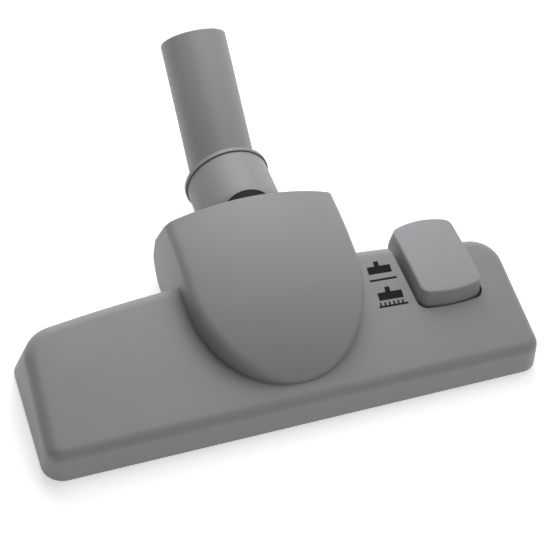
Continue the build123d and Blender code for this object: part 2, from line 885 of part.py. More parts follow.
def make_neck_elbow():
    """Neck moulding: hollow ball on two pivot bosses, and the stub that takes the swivel."""
    y = pivot_y
    z = pivot_height
    end = neck_end_y()
    bore = bore_radius()
    body = Pos(0, y, z) * Sphere(ball_radius) + rod(ball_radius, (0, y, z), (0, end, z))
    hollow = Pos(0, y, z) * Sphere(ball_radius - neck_wall)
    hollow = hollow + rod(bore - 2.6, (0, y, z), (0, end, z))
    hollow = hollow + rod(bore, (0, end - spigot_length - 2.8, z), (0, end + 1, z))
    boss = rod(pin_boss_radius, (ball_radius - 5.5, y, z), (ball_radius, y, z))
    hollow = hollow - boss - mirrored(boss)
    body = body - hollow
    with BuildSketch(xz_plane(y)) as inlet:
        with Locations((0, z + inlet_rise)):
            RectangleRounded(inlet_width, inlet_height, inlet_corner)
    body = body - extrude(inlet.sketch, 40) - window_prism(0)
    body = body - pipe(bore + 0.9, bore - 1, (0, end - 8.1, z), (0, end - 5.3, z))
    for side in (-1, 1):
        hole = rod(pivot_pin_radius + running, (side * (ball_radius - 4), y, z), (side * 30, y, z))
        face = rod(pin_boss_radius + 0.7, (side * (ball_radius - 0.5), y, z), (side * 30, y, z))
        body = body - hole - face
    return solid_of(body)


def make_pivot_pin(side):
    """Steel pin from the ear into the neck's boss."""
    inner = ball_radius - 3.7
    outer = ball_radius + gap + ear_width
    return rod(
        pivot_pin_radius, (side * inner, pivot_y, pivot_height), (side * outer, pivot_y, pivot_height)
    )


def tube_axis():
    """Direction of the tube at rest."""
    bend = math.radians(tube_bend)
    return Vector(0, math.cos(bend), math.sin(bend))


def tube_start():
    """Where the tube's axis meets the stub's axis."""
    return Vector(0, neck_end_y() + swivel_gap + ring_thickness + tube_bend_offset, pivot_height)


def tube_end():
    """Middle of the tube's open end."""
    return tube_start() + tube_axis() * tube_length


def make_swivel_tube():
    """Bent tube: spigot in the stub, flange ring, oblique tube and the socket for the wand."""
    z = pivot_height
    ring_y = neck_end_y() + swivel_gap
    ring_back = ring_y + ring_thickness
    spigot = bore_radius() - running
    spigot_end = neck_end_y() - spigot_length
    start = tube_start()
    end = tube_end()
    axis = tube_axis()
    low = start - axis * 40
    outer = rod(tube_radius, tuple(low), tuple(end))
    outer = outer - box(-60, 60, -50, ring_y + 0.5, -60, 160)
    outer = outer.solids().sort_by(SortBy.VOLUME)[-1]
    mouth = outer.edges().filter_by(GeomType.CIRCLE).sort_by(Axis.Y)[-1]
    outer = outer.fillet(1.0, [mouth])
    body = outer + rod(ring_radius, (0, ring_y, z), (0, ring_back, z))
    body = body + rod(spigot, (0, spigot_end, z), (0, ring_y, z))
    bore = rod(duct_radius + 0.5, tuple(low), tuple(end))
    bore = solid_of(bore - box(-60, 60, -50, ring_y + 1.0, -60, 160))
    body = body - bore
    body = body - rod(socket_radius, tuple(end - axis * socket_depth), tuple(end + axis * 5))
    body = body - rod(spigot - 3.0, (0, spigot_end - 1, z), (0, ring_y + 1.0, z))
    groove = pipe(spigot + 1, spigot - 1.3, (0, neck_end_y() - 7.8, z), (0, neck_end_y() - 5.6, z))
    return solid_of(body - groove)


def make_swivel_retainer():
    """Open snap ring that holds the spigot in the stub."""
    z = pivot_height
    bore = bore_radius()
    y = neck_end_y()
    ring = pipe(bore + 0.7, bore - 1.3, (0, y - 7.7, z), (0, y - 5.7, z))
    return solid_of(ring - box(-2, 2, y - 9, y - 4, z - 30, z))


def make_swivel_seal():
    """Sealing ring on the stub's inner shoulder."""
    z = pivot_height
    bore = bore_radius()
    y = neck_end_y() - spigot_length - 2.8
    return pipe(bore - running, bore - 2.4, (0, y, z), (0, y + 2.5, z))


def make_wheel(side):
    """Wheel hub with its rim and web."""
    x = side * wheel_x
    half = wheel_width / 2
    rim = wheel_radius - tyre_depth
    z = wheel_radius
    hub = rod(rim, (x - half + 0.5, wheel_y, z), (x + half - 0.5, wheel_y, z))
    for way in (-1, 1):
        inner = (x + way * 1.2, wheel_y, z)
        outer = (x + way * 9, wheel_y, z)
        hub = hub - pipe(rim - 1.6, wheel_axle_radius + 2.2, inner, outer)
    return solid_of(hub - rod(wheel_axle_radius + running, (x - 9, wheel_y, z), (x + 9, wheel_y, z)))


def make_tyre(side):
    """Soft ring on the wheel's rim with bevelled edges."""
    x = side * wheel_x
    half = wheel_width / 2
    z = wheel_radius
    ring = rod(wheel_radius, (x - half, wheel_y, z), (x + half, wheel_y, z))
    ring = ring.chamfer(1.0, None, ring.edges().filter_by(GeomType.CIRCLE))
    return solid_of(ring - rod(wheel_radius - tyre_depth, (x - 9, wheel_y, z), (x + 9, wheel_y, z)))


def make_wheel_axle(side):
    """Steel axle across the wheel's lugs."""
    x = side * wheel_x
    reach = wheel_width / 2 + 3.4
    return rod(wheel_axle_radius, (x - reach, wheel_y, wheel_radius), (x + reach, wheel_y, wheel_radius))


def make_housing_screws():
    """Pan-head screws from below into the housing's bosses."""
    screws = []
    low = screw_seat - screw_head_height
    for x, y in housing_screw_places():
        screw = rod(screw_head_radius, (x, y, low), (x, y, screw_seat))
        screw = screw + rod(screw_radius, (x, y, screw_seat), (x, y, screw_tip))
        screw = screw - box(x - 2, x + 2, y - 0.4, y + 0.4, low - 1, low + 1)
        screws.append(screw - box(x - 0.4, x + 0.4, y - 2, y + 2, low - 1, low + 1))
    return group(*screws)


def make_sole_screws():
    """Flat-head screws that hold the sole plate."""
    screws = []
    radius = sole_screw_radius
    for x, y in sole_screw_places():
        screw = rod(2 * radius, (x, y, 0.4), (x, y, skid_depth))
        screw = screw + rod(radius, (x, y, skid_depth), (x, y, sole_boss_top - 0.7))
        screws.append(screw - box(x - 1.6, x + 1.6, y - 0.3, y + 0.3, 0, 0.7))
    return group(*screws)


def make_pedal_axle():
    """Steel pin across the pedal and its two posts."""
    reach = pedal_post_x + post_width / 2
    return rod(
        pedal_axle_radius,
        (pedal_x - reach, pedal_axle_y, pedal_axle_height),
        (pedal_x + reach, pedal_axle_y, pedal_axle_height),
    )


def make_link_pin():
    """Pin through the pedal's arm that runs in the brush frame's fork."""
    reach = arm_half + 2.8
    return rod(link_radius, (pedal_x - reach, link_y, link_height), (pedal_x + reach, link_y, link_height))


def middle_y():
    """Y of the middle between the head's front edge and the tube's end."""
    return (tube_end().Y + tube_radius * math.sin(math.radians(tube_bend))) / 2


def nodes():
    """Every piece by its node name."""
    parts = {
        "upper_housing": make_upper_housing(),
        "chassis": make_chassis(),
        "sole_plate": make_sole_plate(),
        "air_duct": make_air_duct(),
        "front_lint_strip": make_lint_strip(mouth_y - mouth_width / 2 - 4.5),
        "rear_lint_strip": make_lint_strip(mouth_y + mouth_width / 2 + 4.5),
        "brush_frame": make_brush_frame(),
        "front_bristle_strip": make_bristle_strip(front_rail_y),
        "rear_bristle_strip": make_bristle_strip(rear_rail_y),
        "pedal": make_pedal(),
        "pedal_axle": make_pedal_axle(),
        "link_pin": make_link_pin(),
        "detent_spring": make_detent_spring(),
        "neck_elbow": make_neck_elbow(),
        "neck_window": make_neck_window(),
        "neck_seal": make_neck_seal(),
        "swivel_tube": make_swivel_tube(),
        "swivel_retainer": make_swivel_retainer(),
        "swivel_seal": make_swivel_seal(),
        "housing_screws": make_housing_screws(),
        "sole_screws": make_sole_screws(),
    }
    for name, side in (("left", -1), ("right", 1)):
        parts[name + "_pivot_pin"] = make_pivot_pin(side)
        parts[name + "_wheel"] = make_wheel(side)
        parts[name + "_tyre"] = make_tyre(side)
        parts[name + "_wheel_axle"] = make_wheel_axle(side)
    return parts


def main():
    os.makedirs("parts", exist_ok=True)
    shift = Pos(0, -middle_y(), 0)
    for name, shape in nodes().items():
        export_step(shift * shape, f"parts/{name}.step")


if __name__ == "__main__":
    main()
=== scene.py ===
import math
import random
from typing import NamedTuple

import bmesh
import bpy
from mathutils import Euler, Matrix, Vector


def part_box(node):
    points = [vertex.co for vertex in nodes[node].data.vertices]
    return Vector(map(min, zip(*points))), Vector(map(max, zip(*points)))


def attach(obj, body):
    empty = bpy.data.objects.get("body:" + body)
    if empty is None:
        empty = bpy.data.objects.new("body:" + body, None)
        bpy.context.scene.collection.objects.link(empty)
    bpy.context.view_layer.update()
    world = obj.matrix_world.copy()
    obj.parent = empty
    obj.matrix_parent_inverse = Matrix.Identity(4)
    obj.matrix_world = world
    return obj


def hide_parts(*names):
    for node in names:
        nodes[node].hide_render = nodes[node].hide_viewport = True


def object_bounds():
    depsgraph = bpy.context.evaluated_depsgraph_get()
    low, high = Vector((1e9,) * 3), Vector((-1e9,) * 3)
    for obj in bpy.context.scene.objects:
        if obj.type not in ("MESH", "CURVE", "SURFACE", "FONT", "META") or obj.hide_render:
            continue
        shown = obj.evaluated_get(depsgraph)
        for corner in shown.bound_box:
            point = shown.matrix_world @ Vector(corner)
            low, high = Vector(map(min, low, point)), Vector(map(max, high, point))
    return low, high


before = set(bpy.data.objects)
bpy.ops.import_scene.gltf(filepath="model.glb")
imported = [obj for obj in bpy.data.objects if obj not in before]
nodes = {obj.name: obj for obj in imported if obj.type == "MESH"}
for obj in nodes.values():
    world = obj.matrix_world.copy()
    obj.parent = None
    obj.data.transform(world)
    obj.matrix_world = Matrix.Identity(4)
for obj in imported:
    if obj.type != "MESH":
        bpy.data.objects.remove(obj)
cad_low, cad_high = [list(corner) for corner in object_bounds()]

bl_info = {
    "name": "Vacuum floor brush head",
    "version": (1, 0, 0),
    "blender": (4, 5, 0),
    "location": "View3D > Sidebar > Floor head",
    "description": "Finishes the pieces of a vacuum floor brush head and sets up its studio",
    "category": "Object",
}

MM = 0.001

# CAD meshes: faces that meet at a flatter angle than this are shaded as one round face.
SHARP_ANGLE = math.radians(24)
WELD_DISTANCE = 0.002 * MM

# Bristle rows
TUFT_KINDS = 4
FILAMENT_SIDES = 5
FILAMENT_SPACING = 1.15  # in filament thicknesses
TIP_STRAY = 0.15 * MM
TIP_UNEVENNESS = 0.3 * MM
ROOT_DEPTH = 0.3 * MM
STRIP_ROUND = 0.3 * MM

# Lint strips, each in two lengths with a gap at the middle
VELVET_GAP = 8.0 * MM
VELVET_BACKING = 0.3 * MM
PILE_JITTER = 0.3  # in places of the pile's grid
PILE_RADIUS = 0.45  # in pile pitches
PILE_CORNERS = (0.5, 2.6, 4.7)  # directions of a fibre's three corners, in radians

# Printed symbols: rectangles as left, right, front and rear, in millimetres
BRUSH_OUT_LINE = (0, 16.5)
BRUSH_OUT_HEAD = (1.3, 15.1, 3.5, 8.0)
BRUSH_OUT_STUB = (6.1, 8.9, 7.9, 10.9)
BRISTLES = 6
BRISTLE_START = 0.8
BRISTLE_PITCH = 2.5
BRISTLE_WIDTH = 1.0
BRISTLE_END = 2.4
BRUSH_IN_LINE = (0, 15.5)
BRUSH_IN_HEAD = (0.7, 14.0, 3.6, 8.0)
BRUSH_IN_STUB = (5.2, 7.9, 7.9, 10.8)
PRINT_OVERLAP = 0.01
INK_SUNK = 0.2  # share of the ink's thickness below the housing's surface

# Studio: each lamp's place and size in metres
LAMPS = {
    "top_lamp": ((0.10, 0.10, 0.55), 0.40),
    "back_lamp": ((0.05, 0.40, 0.45), 0.45),
    "far_lamp": ((0.0, 1.20, 0.80), 1.0),
}
LAMP_AIM = (0, 0, 0.03)
TABLE_SIZE = 4.0
SENSOR_WIDTH = 36.0  # in millimetres
NEAR_CLIP = 0.01
WHITE = (1, 1, 1, 1)


class Finish(NamedTuple):
    """Surface of a moulded plastic or rubber, with its grain's pitch and depth in metres."""

    grain: float
    depth: float
    roughness: float
    variation: float = 0.05
    gloss: float = 0.5


CHASSIS_FINISH = Finish(grain=0.9 * MM, depth=0.05 * MM, roughness=0.55)
INNER_FINISH = Finish(grain=0.9 * MM, depth=0.04 * MM, roughness=0.5)
WHEEL_FINISH = Finish(grain=0.6 * MM, depth=0.02 * MM, roughness=0.4)
WINDOW_FINISH = Finish(0.6 * MM, 0.01 * MM, roughness=0.6, variation=0.1, gloss=0.15)
SEAL_FINISH = Finish(grain=1.2 * MM, depth=0.03 * MM, roughness=0.7)
TYRE_FINISH = Finish(grain=0.8 * MM, depth=0.05 * MM, roughness=0.75, variation=0.12)
INK_FINISH = Finish(0.4 * MM, 0.004 * MM, roughness=0.7, variation=0.1, gloss=0.1)
NYLON_FINISH = Finish(grain=0.8 * MM, depth=0.01 * MM, roughness=0.42, variation=0.15)
VELVET_FINISH = Finish(grain=0.7 * MM, depth=0.02 * MM, roughness=0.9, variation=0.35)

# Steels: lines per metre along X, Y and Z, so the lines run along the small value
STEEL_LINE_DEPTH = 0.004 * MM
ROLLED_LINES = (15.0, 2600.0, 2600.0)
TURNED_LINES = (2600.0, 60.0, 60.0)
SPRING_LINES = (2600.0, 40.0, 40.0)
SCREW_LINES = (500.0, 500.0, 60.0)


class PlasticSettings(bpy.types.PropertyGroup):
    housing_colour: bpy.props.FloatVectorProperty(
        name="Housing colour",
        description="Warm grey of the housing, neck and pedal",
        subtype="COLOR",
        size=3,
        min=0,
        max=1,
        default=(0.302, 0.289, 0.306),
    )
    tube_colour: bpy.props.FloatVectorProperty(
        name="Tube colour",
        description="Grey of the swivelling tube",
        subtype="COLOR",
        size=3,
        min=0,
        max=1,
        default=(0.272, 0.262, 0.277),
    )
    chassis_colour: bpy.props.FloatVectorProperty(
        name="Chassis colour",
        description="Black of the lower moulding and the wheels",
        subtype="COLOR",
        size=3,
        min=0,
        max=1,
        default=(0.035, 0.035, 0.037),
    )
    inner_colour: bpy.props.FloatVectorProperty(
        name="Inner colour",
        description="Dark grey of the air duct and the brush carrier",
        subtype="COLOR",
        size=3,
        min=0,
        max=1,
        default=(0.10, 0.10, 0.105),
    )
    window_colour: bpy.props.FloatVectorProperty(
        name="Window colour",
        description="Black of the neck's oval window",
        subtype="COLOR",
        size=3,
        min=0,
        max=1,
        default=(0.016, 0.016, 0.017),
    )
    # Painted light: the pedal is the housing's grey made lighter, standing in for the light that
    # falls on its top and front.
    pedal_lightness: bpy.props.FloatProperty(
        name="Pedal lightness",
        description="How much lighter the pedal is than the housing",
        default=1.2,
    )
    grain_size: bpy.props.FloatProperty(
        name="Grain size",
        description="Pitch of the eroded grain on the housing",
        unit="LENGTH",
        default=0.45 * MM,
    )
    grain_depth: bpy.props.FloatProperty(
        name="Grain depth",
        description="Depth of the eroded grain on the housing",
        unit="LENGTH",
        default=0.03 * MM,
    )


class RubberSettings(bpy.types.PropertyGroup):
    seal_colour: bpy.props.FloatVectorProperty(
        name="Seal colour",
        description="Black of the two seals",
        subtype="COLOR",
        size=3,
        min=0,
        max=1,
        default=(0.028, 0.028, 0.028),
    )
    tyre_colour: bpy.props.FloatVectorProperty(
        name="Tyre colour",
        description="Dull black of the tyres",
        subtype="COLOR",
        size=3,
        min=0,
        max=1,
        default=(0.038, 0.037, 0.036),
    )


class MetalSettings(bpy.types.PropertyGroup):
    sole_colour: bpy.props.FloatVectorProperty(
        name="Sole colour",
        description="Grey of the sole's rolled sheet",
        subtype="COLOR",
        size=3,
        min=0,
        max=1,
        default=(0.62, 0.62, 0.63),
    )
    pin_colour: bpy.props.FloatVectorProperty(
        name="Pin colour",
        description="Grey of the turned pins and axles",
        subtype="COLOR",
        size=3,
        min=0,
        max=1,
        default=(0.55, 0.55, 0.56),
    )
    spring_colour: bpy.props.FloatVectorProperty(
        name="Spring colour",
        description="Bluish grey of the detent spring",
        subtype="COLOR",
        size=3,
        min=0,
        max=1,
        default=(0.48, 0.49, 0.52),
    )
    screw_colour: bpy.props.FloatVectorProperty(
        name="Screw colour",
        description="Grey of the screws' zinc",
        subtype="COLOR",
        size=3,
        min=0,
        max=1,
        default=(0.58, 0.58, 0.60),
    )


class SymbolSettings(bpy.types.PropertyGroup):
    ink_colour: bpy.props.FloatVectorProperty(
        name="Ink colour",
        description="Nearly black printing ink",
        subtype="COLOR",
        size=3,
        min=0,
        max=1,
        default=(0.014, 0.014, 0.014),
    )
    left: bpy.props.FloatProperty(
        name="Left end",
        description="X of the left end of the symbols' floor lines",
        unit="LENGTH",
        default=53.4 * MM,
    )
    front: bpy.props.FloatProperty(
        name="Front line",
        description="Y of the front symbol's floor line",
        unit="LENGTH",
        default=-68.5 * MM,
    )
    pitch: bpy.props.FloatProperty(
        name="Pitch",
        description="Distance between the two symbols",
        unit="LENGTH",
        default=15.4 * MM,
    )
    turn: bpy.props.FloatProperty(
        name="Turn",
        description="How far the symbols are turned towards the pedal",
        subtype="ANGLE",
        unit="ROTATION",
        default=math.radians(-2.2),
    )
    line: bpy.props.FloatProperty(
        name="Line",
        description="Thickness of the floor lines",
        unit="LENGTH",
        default=1.1 * MM,
    )
    thickness: bpy.props.FloatProperty(
        name="Ink thickness",
        description="How far the printed ink stands on the housing",
        unit="LENGTH",
        default=0.06 * MM,
    )


class BrushSettings(bpy.types.PropertyGroup):
    nylon_colour: bpy.props.FloatVectorProperty(
        name="Nylon colour",
        description="Black of the bristles",
        subtype="COLOR",
        size=3,
        min=0,
        max=1,
        default=(0.018, 0.018, 0.019),
    )
    tuft_pitch: bpy.props.FloatProperty(
        name="Tuft pitch",
        description="Distance between two tufts",
        unit="LENGTH",
        default=5.0 * MM,
    )
    filament: bpy.props.FloatProperty(
        name="Filament thickness",
        description="Diameter of one bristle at its root",
        unit="LENGTH",
        default=0.36 * MM,
    )
    rings: bpy.props.IntProperty(
        name="Rings",
        description="Rings of bristles around the middle one of a tuft",
        default=2,
    )
    spread: bpy.props.FloatProperty(
        name="Spread",
        description="How far a tuft opens towards its tips",
        unit="LENGTH",
        default=0.5 * MM,
    )
    back_height: bpy.props.FloatProperty(
        name="Back strip",
        description="Height of the strip that holds the tufts",
        unit="LENGTH",
        default=1.5 * MM,
    )


class VelvetSettings(bpy.types.PropertyGroup):
    colour: bpy.props.FloatVectorProperty(
        name="Velvet colour",
        description="Deep red of the lint strips",
        subtype="COLOR",
        size=3,
        min=0,
        max=1,
        default=(0.30, 0.012, 0.016),
    )
    pitch: bpy.props.FloatProperty(
        name="Pile pitch",
        description="Distance between two fibres of the pile",
        unit="LENGTH",
        default=0.75 * MM,
    )
    lean: bpy.props.FloatProperty(
        name="Lean",
        description="How far the pile's tips lean towards the mouth",
        unit="LENGTH",
        default=0.35 * MM,
    )


class StudioSettings(bpy.types.PropertyGroup):
    camera_place: bpy.props.FloatVectorProperty(
        name="Camera place",
        description="Where the camera stands",
        subtype="TRANSLATION",
        unit="LENGTH",
        size=3,
        default=(-0.21289, -0.45962, 0.60303),
    )
    camera_turn: bpy.props.FloatVectorProperty(
        name="Camera turn",
        description="How the camera is turned",
        subtype="EULER",
        unit="ROTATION",
        size=3,
        default=(math.radians(39.412), math.radians(-6.434), math.radians(-19.525)),
    )
    lens: bpy.props.FloatProperty(
        name="Lens",
        description="Focal length in millimetres on a 36 mm sensor",
        unit="CAMERA",
        default=91.985,
    )
    floor_colour: bpy.props.FloatVectorProperty(
        name="Floor colour",
        description="White of the table top",
        subtype="COLOR",
        size=3,
        min=0,
        max=1,
        default=(0.86, 0.86, 0.86),
    )
    top_power: bpy.props.FloatProperty(
        name="Top lamp power",
        description="Power of the soft lamp over the hump",
        unit="POWER",
        default=1.34,
    )
    back_power: bpy.props.FloatProperty(
        name="Back lamp power",
        description="Power of the soft lamp over the tube",
        unit="POWER",
        default=1.22,
    )
    far_power: bpy.props.FloatProperty(
        name="Far lamp power",
        description="Power of the large lamp behind the table",
        unit="POWER",
        default=4.8,
    )
    room_light: bpy.props.FloatProperty(
        name="Room light",
        description="Strength of the even light from the room around",
        default=0.05,
    )
    window_light: bpy.props.FloatProperty(
        name="Window light",
        description="Strength of the soft light from the right",
        default=0.63,
    )
    table_glow: bpy.props.FloatProperty(
        name="Table glow",
        description="How much the backlit table shines by itself",
        default=0.58,
    )


def node_group(name, inputs, outputs):
    """An empty shader node group with named sockets, and its input and output nodes."""
    made = bpy.data.node_groups.new(name, "ShaderNodeTree")
    for socket, kind, value in inputs:
        made.interface.new_socket(socket, in_out="INPUT", socket_type=kind).default_value = value
    for socket, kind in outputs:
        made.interface.new_socket(socket, in_out="OUTPUT", socket_type=kind)
    return made, made.nodes.new("NodeGroupInput"), made.nodes.new("NodeGroupOutput")


def add(tree, kind, **values):
    """A node with its properties and unlinked input values set."""
    node = tree.nodes.new(kind)
    for name, value in values.items():
        if hasattr(node, name):
            setattr(node, name, value)
        else:
            node.inputs[name.replace("_", " ")].default_value = value
    return node


def moulded_surface():
    """Group: eroded grain, faint flow marks and colour change of moulded plastic."""
    made, start, end = node_group(
        "moulded_surface",
        [
            ("Colour", "NodeSocketColor", (0.3, 0.3, 0.3, 1)),
            ("Grain Scale", "NodeSocketFloat", 2000.0),
            ("Roughness", "NodeSocketFloat", 0.5),
            ("Variation", "NodeSocketFloat", 0.04),
        ],
        [
            ("Colour", "NodeSocketColor"),
            ("Roughness", "NodeSocketFloat"),
            ("Height", "NodeSocketFloat"),
        ],
    )
    link = made.links.new
    place = add(made, "ShaderNodeTexCoord")
    grain = add(made, "ShaderNodeTexNoise", Detail=3.0, Roughness=0.6)
    link(place.outputs["Object"], grain.inputs["Vector"])
    link(start.outputs["Grain Scale"], grain.inputs["Scale"])
    cloud = add(made, "ShaderNodeTexNoise", Scale=45.0, Detail=4.0, Roughness=0.55)
    link(place.outputs["Object"], cloud.inputs["Vector"])
    mixed = add(made, "ShaderNodeMath", operation="ADD")
    link(grain.outputs["Fac"], mixed.inputs[0])
    link(cloud.outputs["Fac"], mixed.inputs[1])
    centred = add(made, "ShaderNodeMath", operation="SUBTRACT")
    centred.inputs[1].default_value = 1.0
    link(mixed.outputs[0], centred.inputs[0])
    amount = add(made, "ShaderNodeMath", operation="MULTIPLY")
    link(centred.outputs[0], amount.inputs[0])
    link(start.outputs["Variation"], amount.inputs[1])
    bright = add(made, "ShaderNodeMath", operation="ADD")
    bright.inputs[1].default_value = 1.0
    link(amount.outputs[0], bright.inputs[0])
    tinted = add(made, "ShaderNodeVectorMath", operation="SCALE")
    link(start.outputs["Colour"], tinted.inputs[0])
    link(bright.outputs[0], tinted.inputs["Scale"])
    link(tinted.outputs[0], end.inputs["Colour"])
    rough = add(made, "ShaderNodeMath", operation="ADD")
    link(start.outputs["Roughness"], rough.inputs[0])
    link(amount.outputs[0], rough.inputs[1])
    link(rough.outputs[0], end.inputs["Roughness"])
    link(grain.outputs["Fac"], end.inputs["Height"])
    return made


def drawn_metal():
    """Group: fine lines of rolled or turned metal, stretched by the given scale."""
    made, start, end = node_group(
        "drawn_metal",
        [
            ("Colour", "NodeSocketColor", (0.6, 0.6, 0.6, 1)),
            ("Line Scale", "NodeSocketVector", (20.0, 2500.0, 2500.0)),
            ("Roughness", "NodeSocketFloat", 0.3),
        ],
        [
            ("Colour", "NodeSocketColor"),
            ("Roughness", "NodeSocketFloat"),
            ("Height", "NodeSocketFloat"),
        ],
    )
    link = made.links.new
    place = add(made, "ShaderNodeTexCoord")
    stretched = add(made, "ShaderNodeVectorMath", operation="MULTIPLY")
    link(place.outputs["Object"], stretched.inputs[0])
    link(start.outputs["Line Scale"], stretched.inputs[1])
    lines = add(made, "ShaderNodeTexNoise", Scale=1.0, Detail=3.0)
    link(stretched.outputs[0], lines.inputs["Vector"])
    spots = add(made, "ShaderNodeTexNoise", Scale=180.0, Detail=2.0)
    link(place.outputs["Object"], spots.inputs["Vector"])
    rough = add(made, "ShaderNodeMapRange", To_Min=-0.08, To_Max=0.12)
    link(lines.outputs["Fac"], rough.inputs["Value"])
    total = add(made, "ShaderNodeMath", operation="ADD")
    link(rough.outputs[0], total.inputs[0])
    link(start.outputs["Roughness"], total.inputs[1])
    shade = add(made, "ShaderNodeMapRange", To_Min=0.86, To_Max=1.08)
    link(spots.outputs["Fac"], shade.inputs["Value"])
    tinted = add(made, "ShaderNodeVectorMath", operation="SCALE")
    link(start.outputs["Colour"], tinted.inputs[0])
    link(shade.outputs[0], tinted.inputs["Scale"])
    link(tinted.outputs[0], end.inputs["Colour"])
    link(total.outputs[0], end.inputs["Roughness"])
    link(lines.outputs["Fac"], end.inputs["Height"])
    return made


def shared_group(build):
    """The node group of a building function, built only once."""
    return bpy.data.node_groups.get(build.__name__) or build()


def finish_material(name, build, values, depth, **shader):
    """A material: one Principled shader fed by a shared group, whose height is its bump."""
    made = bpy.data.materials.new(name)
    made.use_nodes = True
    tree = made.node_tree
    principled = tree.nodes["Principled BSDF"]
    for socket, value in shader.items():
        principled.inputs[socket.replace("_", " ")].default_value = value
    surface = tree.nodes.new("ShaderNodeGroup")
    surface.node_tree = shared_group(build)
    for socket, value in values.items():
        surface.inputs[socket].default_value = value
    bump = add(tree, "ShaderNodeBump", Strength=1.0, Distance=depth)
    tree.links.new(surface.outputs["Colour"], principled.inputs["Base Color"])
    tree.links.new(surface.outputs["Roughness"], principled.inputs["Roughness"])
    tree.links.new(surface.outputs["Height"], bump.inputs["Height"])
    tree.links.new(bump.outputs["Normal"], principled.inputs["Normal"])
    return made


def plastic(name, colour, finish, **shader):
    """Moulded plastic or rubber of one colour."""
    values = {
        "Colour": (*colour, 1),
        "Grain Scale": 1 / finish.grain,
        "Roughness": finish.roughness,
        "Variation": finish.variation,
    }
    shader["Specular_IOR_Level"] = finish.gloss
    return finish_material(name, moulded_surface, values, finish.depth, **shader)


def steel(name, colour, lines, roughness):
    """Rolled or turned steel with its lines along the axis of the small scale."""
    values = {"Colour": (*colour, 1), "Line Scale": lines, "Roughness": roughness}
    return finish_material(name, drawn_metal, values, STEEL_LINE_DEPTH, Metallic=1.0)


def dress(material, *names):
    """Gives a material to CAD nodes and smooths their round faces."""
    for name in names:
        piece = nodes[name]
        piece.data.materials.clear()
        piece.data.materials.append(material)
        smooth_rounds(piece)


def smooth_rounds(piece):
    """Shades a faceted mesh smoothly between its sharp edges."""
    for face in piece.data.polygons:
        face.use_smooth = True
    weld = piece.modifiers.new("weld", "WELD")
    weld.merge_threshold = WELD_DISTANCE
    split = piece.modifiers.new("sharp_edges", "EDGE_SPLIT")
    split.split_angle = SHARP_ANGLE


def new_piece(name, shape, material, body, *replaced):
    """Turns a bmesh into a finished piece that rides on a body."""
    mesh = bpy.data.meshes.new(name)
    bmesh.ops.recalc_face_normals(shape, faces=shape.faces)
    shape.to_mesh(mesh)
    shape.free()
    mesh.materials.append(material)
    piece = bpy.data.objects.new(name, mesh)
    bpy.context.scene.collection.objects.link(piece)
    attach(piece, body)
    if replaced:
        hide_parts(*replaced)
    return piece


def add_block(shape, low, high):
    """Adds a box between two corners to a bmesh."""
    size = [b - a for a, b in zip(low, high)]
    middle = [(a + b) / 2 for a, b in zip(low, high)]
    place = Matrix.Translation(middle) @ Matrix.Diagonal((*size, 1))
    bmesh.ops.create_cube(shape, size=1.0, matrix=place)


def add_fibre(shape, root, tip, thickness, sides):
    """Adds a tapered fibre from its root to its tip."""
    way = tip - root
    turn = way.to_track_quat("Z", "Y").to_matrix().to_4x4()
    bmesh.ops.create_cone(
        shape,
        cap_ends=True,
        segments=sides,
        radius1=thickness / 2,
        radius2=thickness / 3,
        depth=way.length,
        matrix=Matrix.Translation((root + tip) / 2) @ turn,
    )


class FLOORHEAD_OT_plastics(bpy.types.Operator):
    """Gives the moulded pieces their grained plastics"""

    bl_idname = "floorhead.plastics"
    bl_label = "Moulded pieces"

    def execute(self, context):
        settings = context.scene.plastic_settings
        grey = settings.housing_colour
        # Painted light: the pedal's material is a lighter copy of the housing grey, standing in
        # for the light on the pedal's top and front.
        lighter = [part * settings.pedal_lightness for part in grey]
        size = settings.grain_size
        depth = settings.grain_depth
        housing = plastic("housing_grey", grey, Finish(size, depth, roughness=0.52, gloss=0.4))
        pedal = plastic("pedal_grey_painted_light", lighter, Finish(size, depth, roughness=0.50, gloss=0.2))
        tube = plastic("tube_grey", settings.tube_colour, Finish(size, depth, roughness=0.50))
        chassis = plastic("chassis_black", settings.chassis_colour, CHASSIS_FINISH)
        inner = plastic("inner_grey", settings.inner_colour, INNER_FINISH)
        wheel = plastic("wheel_black", settings.chassis_colour, WHEEL_FINISH)
        window = plastic("window_black", settings.window_colour, WINDOW_FINISH)
        dress(housing, "upper_housing", "neck_elbow")
        dress(pedal, "pedal")
        dress(tube, "swivel_tube")
        dress(chassis, "chassis")
        dress(inner, "air_duct", "brush_frame", "swivel_retainer")
        dress(wheel, "left_wheel", "right_wheel")
        dress(window, "neck_window")
        return {"FINISHED"}


class FLOORHEAD_OT_rubbers(bpy.types.Operator):
    """Gives the seals and tyres their rubber"""

    bl_idname = "floorhead.rubbers"
    bl_label = "Seals and tyres"

    def execute(self, context):
        settings = context.scene.rubber_settings
        seal = plastic("seal_rubber", settings.seal_colour, SEAL_FINISH)
        tyre = plastic("tyre_rubber", settings.tyre_colour, TYRE_FINISH)
        dress(seal, "neck_seal", "swivel_seal")
        dress(tyre, "left_tyre", "right_tyre")
        return {"FINISHED"}


class FLOORHEAD_OT_metals(bpy.types.Operator):
    """Gives the sole plate, pins, spring and screws their steels"""

    bl_idname = "floorhead.metals"
    bl_label = "Steel pieces"

    def execute(self, context):
        settings = context.scene.metal_settings
        sole = steel("sole_steel", settings.sole_colour, ROLLED_LINES, roughness=0.28)
        pins = steel("pin_steel", settings.pin_colour, TURNED_LINES, roughness=0.25)
        spring = steel("spring_steel", settings.spring_colour, SPRING_LINES, roughness=0.3)
        zinc = steel("screw_zinc", settings.screw_colour, SCREW_LINES, roughness=0.35)
        dress(sole, "sole_plate")
        dress(pins, "pedal_axle", "link_pin", "left_pivot_pin", "right_pivot_pin")
        dress(pins, "left_wheel_axle", "right_wheel_axle")
        dress(spring, "detent_spring")
        dress(zinc, "housing_screws", "sole_screws")
        return {"FINISHED"}


